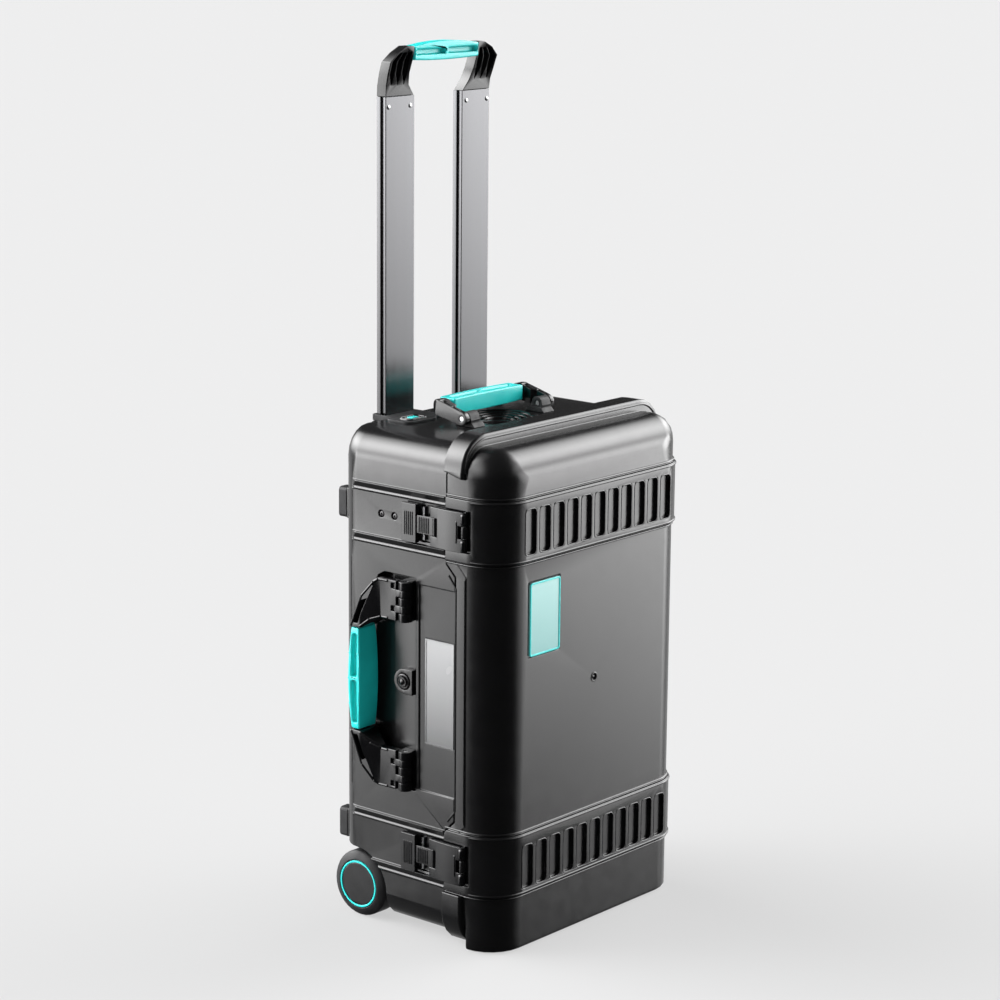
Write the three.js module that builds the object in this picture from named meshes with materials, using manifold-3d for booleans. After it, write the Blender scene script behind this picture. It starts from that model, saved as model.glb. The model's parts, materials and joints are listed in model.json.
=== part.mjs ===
// A wheeled hard case for a camera drone, standing on its short end, with its carry handles folded
// and its trolley handle drawn out. Millimetres, +Z up, -Y is the front (the lid's large face).
// The origin is the middle of the standing foot's lower face.
import * as THREE from "three";
import { mergeVertices } from "three/addons/utils/BufferGeometryUtils.js";
import Module from "manifold-3d";

const wasm = await Module();
wasm.setup();

// ---- driving dimensions ----
const HALF_WIDTH = 164;
const BOTTOM = 8;
const TOP = 552;
const FRONT = -90;
const BACK = 140;
const RIM = -18; // the plane where the base's rim ends and the lid begins
const SEAM = 0.6; // gap between lid and base
const CLEAR = 0.3; // gap between pieces that touch
const WALL = 6;
const TOP_WALL = 11;
const CAVITY_BACK = 128;
const MOUTH = { x: 146, z: [26, 529], r: 14 }; // clear mouth between the rim flanges
const CORNER = 30;
const SKIRT = { y: -30.4, z: [142, 413], jog: 13, gap: 1.6 }; // the seam's forward step
const BANDS = [
  { z: [431, 499], slots: [439, 488], latch: 464.8 },
  { z: [64, 132], slots: [70, 118], latch: 96.9 },
];
const BAND_RISE = 3;
const BAND_SLOT = { count: 11, width: 17, pitch: 23.34, first: -123, floor: -89.4 };
const COLLAR = { x: 170, y: -45, z: [0.6, 565], r: 38, low: 62, high: [527, 520] };
const RIBS = [64, 119, 431, 488]; // lower edges of the base's side ribs
const RIB = { bead: 1.6, rise: 3.6, height: 10.6, back: 108 };
const HINGE = { x: 171, y: RIM - CLEAR, z: [98, 465], r: 6, pin: 2.4 };
const LATCH = { x: -168.5, pivotY: -46.5, triggerY: -6.5, half: 21.6, face: -172 };
const POCKET = { z: [165, 403], floor: -159, deep: -150 };
const SIDE_HANDLE = { x: -170, y: 34, z: 282.5, half: 116.5, plate: 44, grip: 57 };
const TOP_HANDLE = { y: 39, z: 561.5, x: 75.5, gripY: 74, gripZ: 570 };
const TROLLEY = { x: 62.7, y: [139.5, 153], half: 23, z: [430, 902], lean: 12 };
const HOUSING = { x: 94.5, y: [134.3, 155.5], z: [62, 546.8] };
const WHEEL = { y: 112, r: 37.5, x: [132, 162], axle: 4 };
const WELL = { x: 128, r: 44 };
const FOAM_SPLIT = 84;
const COLLAR_SEAT = TOP - 5; // floor of the shallow seat around each pole
const REAR_FEET = [["upper", 447], ["lower", 79.5]];
const FOOT_HEIGHT = 34;
const BUTTON = { x: [-83.5, -72.5], y: [102, 110.5] };
const VALVE = { y: 40.5, z: 286 };

// ---- materials ----
const plastic = (color, roughness) => new THREE.MeshStandardMaterial({ color, roughness, metalness: 0 });
const MATERIALS = {
  shell: plastic(0x1d1d1f, 0.55),
  fitting: plastic(0x141415, 0.42),
  accent: plastic(0x2fbdae, 0.38),
  badge: plastic(0x9fdccf, 0.3),
  label: plastic(0xb9bbbd, 0.3),
  rubber: plastic(0x202022, 0.8),
  foam: plastic(0x2a2a2c, 0.95),
  pole: new THREE.MeshStandardMaterial({ color: 0x1b1b1d, roughness: 0.35, metalness: 0.8 }),
  steel: new THREE.MeshStandardMaterial({ color: 0xa9abad, roughness: 0.3, metalness: 1 }),
};

// ---- solids from three.js geometry ----
function solid(geometry) {
  const points = geometry.index ? geometry.toNonIndexed() : geometry.clone();
  points.deleteAttribute("normal");
  points.deleteAttribute("uv");
  const merged = mergeVertices(points, 1e-4);
  const vertProperties = merged.attributes.position.array;
  const triVerts = new Uint32Array(merged.index.array);
  const made = new wasm.Manifold(new wasm.Mesh({ numProp: 3, vertProperties, triVerts }));
  if (made.volume() > 0) return made;
  return new wasm.Manifold(
    new wasm.Mesh({ numProp: 3, vertProperties, triVerts: triVerts.reverse() }),
  );
}

function box([x0, x1], [y0, y1], [z0, z1]) {
  const geometry = new THREE.BoxGeometry(x1 - x0, y1 - y0, z1 - z0);
  geometry.translate((x0 + x1) / 2, (y0 + y1) / 2, (z0 + z1) / 2);
  return solid(geometry);
}

// An outline drawn in (Y, Z), (X, Z) or (X, Y) becomes a prism along the remaining axis.
const vector = (x, y, z) => new THREE.Vector3(x, y, z);
const ALONG = {
  x: new THREE.Matrix4().makeBasis(vector(0, 1, 0), vector(0, 0, 1), vector(1, 0, 0)),
  y: new THREE.Matrix4().makeBasis(vector(1, 0, 0), vector(0, 0, 1), vector(0, -1, 0)),
  z: new THREE.Matrix4(),
};

function prism(outline, axis, [from, to], arcSteps = 6, move = null) {
  const shape = Array.isArray(outline) ? polygon(outline) : outline;
  const geometry = new THREE.ExtrudeGeometry(shape, {
    depth: to - from,
    bevelEnabled: false,
    curveSegments: arcSteps / 2, // an arc takes two steps for each
  });
  geometry.translate(0, 0, axis === "y" ? -to : from);
  geometry.applyMatrix4(ALONG[axis]);
  const position = geometry.attributes.position;
  for (let i = 0; move && i < position.count; i++) {
    const point = move(vector().fromBufferAttribute(position, i));
    position.setXYZ(i, point.x, point.y, point.z);
  }
  return solid(geometry);
}

function polygon(points) {
  return new THREE.Shape(points.map(([u, v]) => new THREE.Vector2(u, v)));
}

function roundRect([u0, u1], [v0, v1], r) {
  const shape = new THREE.Shape();
  shape.absarc(u1 - r, v1 - r, r, 0, Math.PI / 2);
  shape.absarc(u0 + r, v1 - r, r, Math.PI / 2, Math.PI);
  shape.absarc(u0 + r, v0 + r, r, Math.PI, Math.PI * 1.5);
  shape.absarc(u1 - r, v0 + r, r, Math.PI * 1.5, Math.PI * 2);
  return shape;
}

// A bar with round ends of different radii, from a to b.
function capsule([au, av, ar], [bu, bv, br]) {
  const heading = Math.atan2(bv - av, bu - au);
  const shape = new THREE.Shape();
  shape.absarc(au, av, ar, heading + Math.PI / 2, heading + Math.PI * 1.5);
  shape.absarc(bu, bv, br, heading - Math.PI / 2, heading + Math.PI / 2);
  return shape;
}

function rod(axis, centre, [from, to], radius, segments = 16) {
  const circle = new THREE.Shape().absarc(centre[0], centre[1], radius, 0, Math.PI * 2);
  return prism(circle, axis, [from, to], segments);
}

// A solid of revolution about an axis along X through (y, z); the profile holds [radius, x].
function turned(profile, [y, z], segments = 32) {
  const points = profile.map(([r, x]) => new THREE.Vector2(r, x));
  const geometry = new THREE.LatheGeometry(points, segments);
  geometry.rotateZ(-Math.PI / 2);
  geometry.translate(0, y, z);
  return solid(geometry);
}

// A body lofted along Y: each station is a rounded rectangle in X and Z.
function loft(stations) {
  const steps = 5;
  const positions = [];
  const index = [];
  const ring = 4 * (steps + 1);
  stations.forEach(({ y, x, z, r }) => {
    for (let corner = 0; corner < 4; corner++) {
      const cx = corner === 0 || corner === 3 ? x - r : r - x;
      const cz = corner < 2 ? z[1] - r : z[0] + r;
      for (let k = 0; k <= steps; k++) {
        const a = ((corner + k / steps) * Math.PI) / 2;
        positions.push(cx + r * Math.cos(a), y, cz + r * Math.sin(a));
      }
    }
  });
  for (let s = 0; s + 1 < stations.length; s++) {
    for (let i = 0; i < ring; i++) {
      const a = s * ring + i;
      const b = s * ring + ((i + 1) % ring);
      index.push(a, a + ring, b + ring, a, b + ring, b);
    }
  }
  const last = (stations.length - 1) * ring;
  for (let i = 1; i + 1 < ring; i++) {
    index.push(0, i, i + 1, last, last + i + 1, last + i);
  }
  const geometry = new THREE.BufferGeometry();
  geometry.setAttribute("position", new THREE.BufferAttribute(new Float32Array(positions), 3));
  geometry.setIndex(index);
  return solid(geometry);
}

// How far a rounded edge of radius r has drawn in, at depth d from its flat face.
function drawIn(r, d) {
  return d < r ? r - Math.sqrt(r * r - (r - d) ** 2) : 0;
}

const EDGE_ANGLES = [0, 15, 30, 45, 60, 75, 90].map((a) => (a * Math.PI) / 180);

// The lid's outer form, grown outwards by `grow`, up to the plane y = end.
function lidForm(grow, end) {
  const side = 42 + grow;
  const cap = 30 + grow;
  const stations = EDGE_ANGLES.map((a) => {
    const depth = side * (1 - Math.cos(a));
    const inset = side * (1 - Math.sin(a));
    const drop = drawIn(cap, depth);
    return {
      y: FRONT - grow + depth,
      x: HALF_WIDTH + grow - inset,
      z: [BOTTOM - grow + drop, TOP + grow - drop],
      r: Math.max(8, CORNER + grow - drop),
    };
  });
  const flat = stations[stations.length - 1];
  return loft([...stations, { ...flat, y: end }]);
}

// The base's outer form from y = start to its back, with a rounded back edge.
function baseForm(start) {
  const stations = EDGE_ANGLES.map((a) => {
    const depth = CORNER * (1 - Math.sin(a));
    const drop = drawIn(8, depth);
    return {
      y: BACK - depth,
      x: HALF_WIDTH - CORNER * (1 - Math.cos(a)),
      z: [BOTTOM + drop, TOP - drop],
      r: CORNER - drop,
    };
  });
  return loft([{ ...stations[0], y: start }, ...stations]);
}

// The hollow inside the base from y = start to y = end, drawn in all round by `inset`.
function insideForm(inset, start, end) {
  const x = HALF_WIDTH - WALL - inset;
  const z = [BOTTOM + WALL + inset, TOP - TOP_WALL - inset];
  const r = 24 - inset;
  const stations = [{ y: 100, x }, { y: 118, x: x - 7 }, { y: CAVITY_BACK, x: x - 18 }];
  const inner = stations.filter(({ y }) => y > start + 1);
  return loft([{ y: start, x }, ...inner].map((station) => ({ ...station, z, r }))).intersect(
    box([-x, x], [start, end], [0, TOP]),
  );
}

const mirrorX = (made) => made.mirror([1, 0, 0]);
const union = (pieces) => pieces.reduce((sum, piece) => sum.add(piece));
const WIDE = [-200, 200];
const ANY_Z = [-50, 700];

// ---- the scene graph ----
const part = new THREE.Group();

function bodyGroup() {
  const group = new THREE.Group();
  part.add(group);
  return group;
}

function addNode(group, name, made, material) {
  const { vertProperties, triVerts, numProp } = made.getMesh();
  const positions = new Float32Array(triVerts.length * 3);
  triVerts.forEach((vertex, i) => {
    for (let k = 0; k < 3; k++) positions[i * 3 + k] = vertProperties[vertex * numProp + k];
  });
  const geometry = new THREE.BufferGeometry();
  geometry.setAttribute("position", new THREE.BufferAttribute(positions, 3));
  geometry.computeVertexNormals();
  const mesh = new THREE.Mesh(geometry, material);
  mesh.name = name;
  group.add(mesh);
}

const SIDES = [
  { name: "left", sign: -1 },
  { name: "right", sign: 1 },
];
const LEVELS = [
  { name: "upper", band: BANDS[0] },
  { name: "lower", band: BANDS[1] },
];
const onSide = (side, leftMade) => (side.sign < 0 ? leftMade : mirrorX(leftMade));

// ---- base ----
const base = bodyGroup();

// Side ribs: a ledge that slopes back in below its upper edge, down to a bead. Chamfered at the back.
function sideRib(z) {
  const wall = 1 - HALF_WIDTH;
  const edge = -HALF_WIDTH - RIB.rise;
  const bead = -HALF_WIDTH - RIB.bead;
  const section = [
    [wall, z], [bead, z + 0.8], [bead, z + 2.6], [-HALF_WIDTH - 0.2, z + 3.4],
    [edge, z + RIB.height - 0.6], [edge + 0.8, z + RIB.height], [wall, z + RIB.height],
  ];
  const plan = [[wall, RIM], [edge - 1, RIM], [edge - 1, RIB.back], [wall, RIB.back + 10]];
  return prism(section, "y", [RIM, RIB.back + 10]).intersect(prism(plan, "z", [z - 1, z + 12]));
}

function wheelWell(radius, [x0, x1]) {
  const arch = new THREE.Shape();
  arch.moveTo(WHEEL.y - radius, -5);
  arch.lineTo(WHEEL.y - radius, WHEEL.r);
  arch.absarc(WHEEL.y, WHEEL.r, radius, Math.PI, Math.PI / 2, true);
  arch.lineTo(BACK + 10, WHEEL.r + radius);
  arch.lineTo(BACK + 10, -5);
  return prism(arch, "x", [x0, x1], 8);
}

// The plate around a pole, with a lobe in front of it for the release button.
function collarPlate(grow, z, back) {
  const lobe = roundRect([-101 - grow, grow - 50], [91.5 - grow, 128 + grow], 9 + grow);
  const around = roundRect([-90 - grow, grow - 36], [98 - grow, back], 4 + grow);
  return prism(lobe, "z", z, 4).add(prism(around, "z", z, 4));
}

function buttonHole(grow, z) {
  const [x, y] = [BUTTON.x, BUTTON.y];
  return box([x[0] - grow, x[1] + grow], [y[0] - grow, y[1] + grow], z);
}

function rampTo(side) {
  const wedge = [[22, TOP - 1], [RIM, TOP - 1], [RIM, TOP + 10]];
  return onSide(side, prism(wedge, "x", [-70, -46]));
}

function hingeKnuckles(level, ranges, web) {
  const [y0, y1] = web;
  return union(
    ranges.map(([from, to]) => {
      const span = [level + from, level + to];
      const plate = box([HALF_WIDTH - 1, HINGE.x], [y0, y1], span);
      return rod("z", [HINGE.x, HINGE.y], span, HINGE.r, 12).add(plate);
    }),
  );
}
const BASE_KNUCKLES = [[-30, -12], [12, 30]];
const LID_KNUCKLES = [[-11.5, 11.5]];
const hingeClearance = (level, ranges) =>
  union(
    ranges.map(([from, to]) =>
      rod("z", [HINGE.x, HINGE.y], [level + from - 0.5, level + to + 0.5], HINGE.r + 0.8, 12),
    ),
  );
const hingeBore = (level) =>
  rod("z", [HINGE.x, HINGE.y], [level - 31, level + 31], HINGE.pin + 0.35, 12);

function baseShell() {
  const skirtLine = [
    [RIM + 1, SKIRT.z[0] - SKIRT.jog],
    [SKIRT.y, SKIRT.z[0] + 0.5],
    [SKIRT.y, SKIRT.z[1] - 0.5],
    [RIM + 1, SKIRT.z[1] + SKIRT.jog],
  ];
  const outer = baseForm(RIM);
  const wells = SIDES.map((side) => onSide(side, wheelWell(WELL.r + WALL, [-200, 6 - WELL.x])));
  const mouth = roundRect([-MOUTH.x, MOUTH.x], MOUTH.z, MOUTH.r);
  let shell = outer
    .subtract(insideForm(0, RIM + WALL, CAVITY_BACK))
    .add(union(wells).intersect(outer))
    .add(box([1 - HALF_WIDTH, -143], [18, 120], [POCKET.z[0] - 10, POCKET.z[1] + 10]))
    .subtract(prism(mouth, "y", [RIM - 1, RIM + WALL + 1]))
    .add(prism(skirtLine, "x", [-HALF_WIDTH, -HALF_WIDTH + 5.5]));
  for (const z of RIBS) shell = shell.add(sideRib(z)).add(mirrorX(sideRib(z)));
  for (const side of SIDES) {
    shell = shell.add(rampTo(side));
    for (const [, z] of REAR_FEET) {
      const block = box([-143, -127], [CAVITY_BACK + 1, 145], [z, z + FOOT_HEIGHT]);
      shell = shell.add(onSide(side, block));
    }
  }
  for (const level of HINGE.z) {
    shell = shell
      .subtract(hingeClearance(level, LID_KNUCKLES))
      .add(hingeKnuckles(level, BASE_KNUCKLES, [HINGE.y + 0.6, 6]))
      .subtract(hingeBore(level));
  }
  const pocketPlan = [
    [-171, 24], [-165, 24], [POCKET.floor, 28], [POCKET.floor, 58],
    [POCKET.deep, 74], [POCKET.deep, 106], [-165, 117], [-171, 117],
  ];
  const pocketEdge = [[20, 120.5], [70, 120.5], [79, 115.5], [109, 60], [118, 60]];
  const around = [
    ...pocketEdge.map(([y, dz]) => [y, SIDE_HANDLE.z - dz]),
    ...pocketEdge.map(([y, dz]) => [y, SIDE_HANDLE.z + dz]).reverse(),
  ];
  const hollows = [
    prism(pocketPlan, "z", POCKET.z).intersect(prism(around, "x", WIDE)),
    box([-170, 1.5 - HALF_WIDTH], [SKIRT.y - 5, 20], [168, 397]),
    box([-170, 2.8 - HALF_WIDTH], [-29, 12], [222, 339]),
    box([-HOUSING.x - 0.5, HOUSING.x + 0.5], [HOUSING.y[0] - CLEAR, 150], [60, 600]),
    rod("z", [0, 48], [TOP - 5, TOP + 1], 38, 24),
  ];
  for (const y of [56, 75]) hollows.push(rod("x", [y, 466], [-170, 2.5 - HALF_WIDTH], 4, 12));
  for (const { band } of LEVELS) {
    const recess = [LATCH.triggerY + 5.5, LATCH.triggerY + 23.5];
    hollows.push(box([-170, 3 - HALF_WIDTH], recess, [band.latch - 20, band.latch + 20]));
  }
  for (const side of SIDES) {
    hollows.push(onSide(side, wheelWell(WELL.r, [-200, -WELL.x])));
    hollows.push(onSide(side, rod("x", [WHEEL.y, WHEEL.r], [-WELL.x - 1, -120], 4.4, 12)));
    hollows.push(onSide(side, collarPlate(0.5, [COLLAR_SEAT, TOP + 1], 170)));
    hollows.push(onSide(side, buttonHole(1, [TOP - 9.3, TOP + 1])));
  }
  return shell.subtract(union(hollows));
}
addNode(base, "base_shell", baseShell(), MATERIALS.shell);

const footBar = roundRect([-100, 100], [-13, 13], 12);
addNode(base, "standing_foot", prism(footBar, "z", [0, BOTTOM - CLEAR], 4), MATERIALS.rubber);

for (const side of SIDES) {
  for (const [name, z] of REAR_FEET) {
    const outline = roundRect([-143, -127], [z, z + FOOT_HEIGHT], 4);
    const foot = prism(outline, "y", [145.3, 157.5], 3);
    addNode(base, `rear_foot_${name}_${side.name}`, onSide(side, foot), MATERIALS.rubber);
  }
}

// Trolley housing: a tray on the back with one open-topped channel for each pole.
function trolleyHousing() {
  const { x, half, y } = TROLLEY;
  let housing = prism(
    roundRect([-HOUSING.x, HOUSING.x], HOUSING.z, 6),
    "y",
    HOUSING.y,
    3,
  );
  for (const side of SIDES) {
    const channel = box([-x - half - 0.6, half + 0.6 - x], [y[0] - 0.6, y[1] + 0.4], [80, 600]);
    housing = housing.subtract(onSide(side, channel));
  }
  return housing.subtract(box([-30, 30], [HOUSING.y[1] - 8, 170], [90, 520]));
}
addNode(base, "trolley_housing", trolleyHousing(), MATERIALS.fitting);

for (const side of SIDES) {
  const { x, half, y } = TROLLEY;
  const plate = collarPlate(0, [COLLAR_SEAT + CLEAR, TOP + 2.2], 157.5);
  const hole = box([-x - half - 0.6, half + 0.6 - x], [y[0] - 0.6, y[1] + 0.6], ANY_Z);
  const collar = plate.subtract(hole).subtract(buttonHole(0.5, ANY_Z));
  addNode(base, `pole_collar_${side.name}`, onSide(side, collar), MATERIALS.fitting);
}

// Foam: an upper layer cut with pockets for the craft and its kit, on a solid lower layer.
const FOAM_POCKETS = [
  [[-66, 52], [318, 502]],
  [[72, 138], [330, 500]],
  [[-120, 60], [186, 292]],
  [[80, 138], [100, 180]],
  [[80, 138], [202, 282]],
  [[-104, -30], [104, 164]],
  [[-10, 58], [104, 164]],
];
function foamLayer([y0, y1]) {
  const sheet = insideForm(0.6, y0, y1);
  const notches = [box([-200, -142.4], [17.4, 121], [154.4, 413.6])];
  for (const side of SIDES) notches.push(onSide(side, box([-200, -121.4], [61, 200], [0, 88.5])));
  return sheet.subtract(union(notches));
}
const pocketCut = ([x, z]) => prism(roundRect(x, z, 12), "y", [-30, FOAM_SPLIT + 1], 3);
const upperFoam = foamLayer([RIM + 6.5, FOAM_SPLIT]).subtract(union(FOAM_POCKETS.map(pocketCut)));
addNode(base, "foam_pocket_layer", upperFoam, MATERIALS.foam);
addNode(base, "foam_bottom_layer", foamLayer([FOAM_SPLIT + 0.4, CAVITY_BACK - 0.4]), MATERIALS.foam);

for (const level of [["upper", HINGE.z[1]], ["lower", HINGE.z[0]]]) {
  const pin = rod("z", [HINGE.x, HINGE.y], [level[1] - 30, level[1] + 30], HINGE.pin, 12);
  addNode(base, `hinge_pin_${level[0]}`, pin, MATERIALS.steel);
}

for (const { name, band } of LEVELS) {
  const z = [band.latch - 18, band.latch + 18];
  const y = [LATCH.triggerY + 19, LATCH.triggerY + 22];
  const strike = box([-HALF_WIDTH - 0.6, 2.7 - HALF_WIDTH], y, z);
  addNode(base, `latch_strike_${name}`, strike, MATERIALS.steel);
}

const labelPlate = box([1 - HALF_WIDTH, 2.5 - HALF_WIDTH], [-28.7, 11.7], [222.3, 338.7]);
addNode(base, "label_plate", labelPlate, MATERIALS.label);

// Pressure valve: a D-shaped body with a turning knob.
function valveBody() {
  const outline = new THREE.Shape();
  outline.absarc(VALVE.y, VALVE.z, 14, -Math.PI / 2, Math.PI / 2);
  outline.lineTo(28.4, VALVE.z + 14);
  outline.lineTo(28.4, VALVE.z - 14);
  return prism(outline, "x", [-166, POCKET.floor - CLEAR], 10).subtract(
    rod("x", [VALVE.y, VALVE.z], [-170, -162], 9.5, 20),
  );
}
addNode(base, "valve_body", valveBody(), MATERIALS.fitting);

for (const side of SIDES) {
  const axle = rod("x", [WHEEL.y, WHEEL.r], [-159, -122.5], WHEEL.axle, 12);
  addNode(base, `axle_${side.name}`, onSide(side, axle), MATERIALS.steel);
}

// Side handle mounts: three lugs on a backing plate, one mount for each end of the handle.
const plateSpan = (sign) => {
  const outer = SIDE_HANDLE.z + sign * SIDE_HANDLE.half;
  const inner = outer - sign * SIDE_HANDLE.plate;
  return [Math.min(outer, inner), Math.max(outer, inner)];
};
const LUGS = [[0, 9], [17.6, 26.4], [35, 44]];
const KNUCKLES = [[9.4, 17.2], [26.8, 34.6]];
function sideMount([z0, z1]) {
  const backing = box([-162.2, POCKET.floor - CLEAR], [28.4, 43], [z0, z1]);
  const lugs = LUGS.map(([a, b]) => {
    const span = [z0 + a, z0 + b];
    const web = box([SIDE_HANDLE.x, -161], [28.4, 42], span);
    return rod("z", [SIDE_HANDLE.x, SIDE_HANDLE.y], span, 8, 16).add(web);
  });
  const bore = rod("z", [SIDE_HANDLE.x, SIDE_HANDLE.y], [z0 - 1, z1 + 1], 2.9, 12);
  return backing.add(union(lugs)).subtract(bore);
}
for (const [name, sign] of [["upper", 1], ["lower", -1]]) {
  const span = plateSpan(sign);
  const pin = rod("z", [SIDE_HANDLE.x, SIDE_HANDLE.y], [span[0] + 0.5, span[1] - 0.5], 2.5, 12);
  addNode(base, `side_handle_mount_${name}`, sideMount(span), MATERIALS.fitting);
  addNode(base, `side_handle_pin_${name}`, pin, MATERIALS.steel);
}

// Top handle mounts: an ear inside each arm of the handle.
for (const side of SIDES) {
  const { y, z } = TOP_HANDLE;
  const ear = capsule([y, z, 7.5], [y, TOP + 8, 8.5]);
  const foot = [[26, TOP + CLEAR], [54, TOP + CLEAR], [50, TOP + 5], [30, TOP + 5]];
  const mount = prism(ear, "x", [-68.3, -53])
    .intersect(box(WIDE, WIDE, [TOP + CLEAR, 700]))
    .add(prism(foot, "x", [-68.3, -50]))
    .subtract(rod("x", [y, z], WIDE, 3, 12));
  const pin = rod("x", [y, z], [-74.5, -54], 2.6, 12);
  addNode(base, `top_handle_mount_${side.name}`, onSide(side, mount), MATERIALS.fitting);
  addNode(base, `top_handle_pin_${side.name}`, onSide(side, pin), MATERIALS.steel);
}

// ---- lid ----
const lid = bodyGroup();
const LID_END = RIM - SEAM;

// The lid's foot: its plan carried straight down, so that the lid's lower end is flat.
function lidFoot() {
  const centre = { x: HALF_WIDTH - 42, y: FRONT + 42 };
  const plan = new THREE.Shape();
  plan.moveTo(-HALF_WIDTH, LID_END);
  plan.absarc(-centre.x, centre.y, 42, Math.PI, Math.PI * 1.5);
  plan.absarc(centre.x, centre.y, 42, Math.PI * 1.5, Math.PI * 2);
  plan.lineTo(HALF_WIDTH, LID_END);
  return prism(plan, "z", [COLLAR.z[0], 60]);
}

function lidShell() {
  const collarForm = loft([
    { y: COLLAR.y, x: COLLAR.x - 2, z: [COLLAR.z[0] + 2, COLLAR.z[1] - 2], r: COLLAR.r - 2 },
    { y: COLLAR.y + 2.5, x: COLLAR.x, z: COLLAR.z, r: COLLAR.r },
    { y: LID_END, x: COLLAR.x, z: COLLAR.z, r: COLLAR.r },
  ]);
  const bandForm = lidForm(BAND_RISE, LID_END);
  const stripEdge = SKIRT.y - SKIRT.gap;
  const strip = [
    [-46, 140], [-46, 415], [-30, 431.5], [LID_END, 431.5], [LID_END, 426],
    [stripEdge, SKIRT.z[1]], [stripEdge, SKIRT.z[0]], [LID_END, 129],
    [LID_END, 123.5], [-30, 123.5],
  ];
  const beyondSeam = [
    [RIM + 5, 128.3], [LID_END, 128.3], [stripEdge, SKIRT.z[0] - 0.3],
    [stripEdge, SKIRT.z[1] + 0.3], [LID_END, 426.7], [RIM + 5, 426.7],
  ];
  const [seamEnd, frontEnd] = COLLAR.high;
  const above = [
    [LID_END + 1, seamEnd], [COLLAR.y - 1, frontEnd], [COLLAR.y - 1, 700], [LID_END + 1, 700],
  ];
  let shell = lidForm(0, LID_END)
    .add(lidFoot())
    .add(collarForm.intersect(prism(above, "x", WIDE)))
    .add(collarForm.intersect(box(WIDE, WIDE, [-50, COLLAR.low])))
    .add(prism(strip, "x", [-0.6 - HALF_WIDTH, 4 - HALF_WIDTH]));
  for (const { z } of BANDS) shell = shell.add(bandForm.intersect(box(WIDE, WIDE, z)));
  for (const level of HINGE.z) {
    shell = shell
      .subtract(hingeClearance(level, BASE_KNUCKLES))
      .add(hingeKnuckles(level, LID_KNUCKLES, [-30, LID_END]))
      .subtract(hingeBore(level));
  }
  const mouth = roundRect([-MOUTH.x, MOUTH.x], MOUTH.z, MOUTH.r);
  const groove = roundRect([-153, 153], [19, 536], 18);
  groove.holes.push(roundRect([-149, 149], [23, 532], 14));
  const hollows = [
    lidForm(-WALL, COLLAR.y),
    prism(mouth, "y", [COLLAR.y - 1, RIM + 1], 4),
    prism(groove, "y", [-22.5, RIM + 1], 4),
    prism(beyondSeam, "x", [-200, 6.1 - HALF_WIDTH]),
    box([-114, -61], [-95, FRONT + 1.6], [325, 408]),
    rod("y", [0, 281], [-95, FRONT + 2], 3.4, 12),
  ];
  for (const band of BANDS) {
    for (let i = 0; i < BAND_SLOT.count; i++) {
      const x = BAND_SLOT.first + i * BAND_SLOT.pitch;
      hollows.push(box([x, x + BAND_SLOT.width], [-100, BAND_SLOT.floor], band.slots));
    }
    const seat = [LATCH.pivotY - 6.5, RIM + 1];
    hollows.push(box([-180, -HALF_WIDTH], seat, [band.latch - 22.3, band.latch + 22.3]));
  }
  shell = shell.subtract(union(hollows));
  for (const band of BANDS) {
    const span = [band.latch - 6.5, band.latch + 6.5];
    const root = box([LATCH.x, 1 - HALF_WIDTH], [LATCH.pivotY - 3.5, LATCH.pivotY + 3.5], span);
    const ear = rod("z", [LATCH.x, LATCH.pivotY], span, 3.5, 12).add(root);
    shell = shell.add(ear.subtract(rod("z", [LATCH.x, LATCH.pivotY], ANY_Z, 1.9, 12)));
  }
  return shell;
}
addNode(lid, "lid_shell", lidShell(), MATERIALS.shell);

const lidFoam = lidForm(-WALL - 0.5, COLLAR.y - 3);
addNode(lid, "lid_foam", lidFoam, MATERIALS.foam);

const sealOutline = roundRect([-152.6, 152.6], [19.4, 535.6], 17.6);
sealOutline.holes.push(roundRect([-149.4, 149.4], [22.6, 532.4], 14.4));
addNode(lid, "rim_seal", prism(sealOutline, "y", [-22.2, RIM - CLEAR], 4), MATERIALS.rubber);

const badge = prism(roundRect([-112.7, -62.3], [326.3, 406.7], 3), "y", [-91.2, FRONT + 1.3], 3);
addNode(lid, "badge_plate", badge, MATERIALS.badge);

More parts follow.
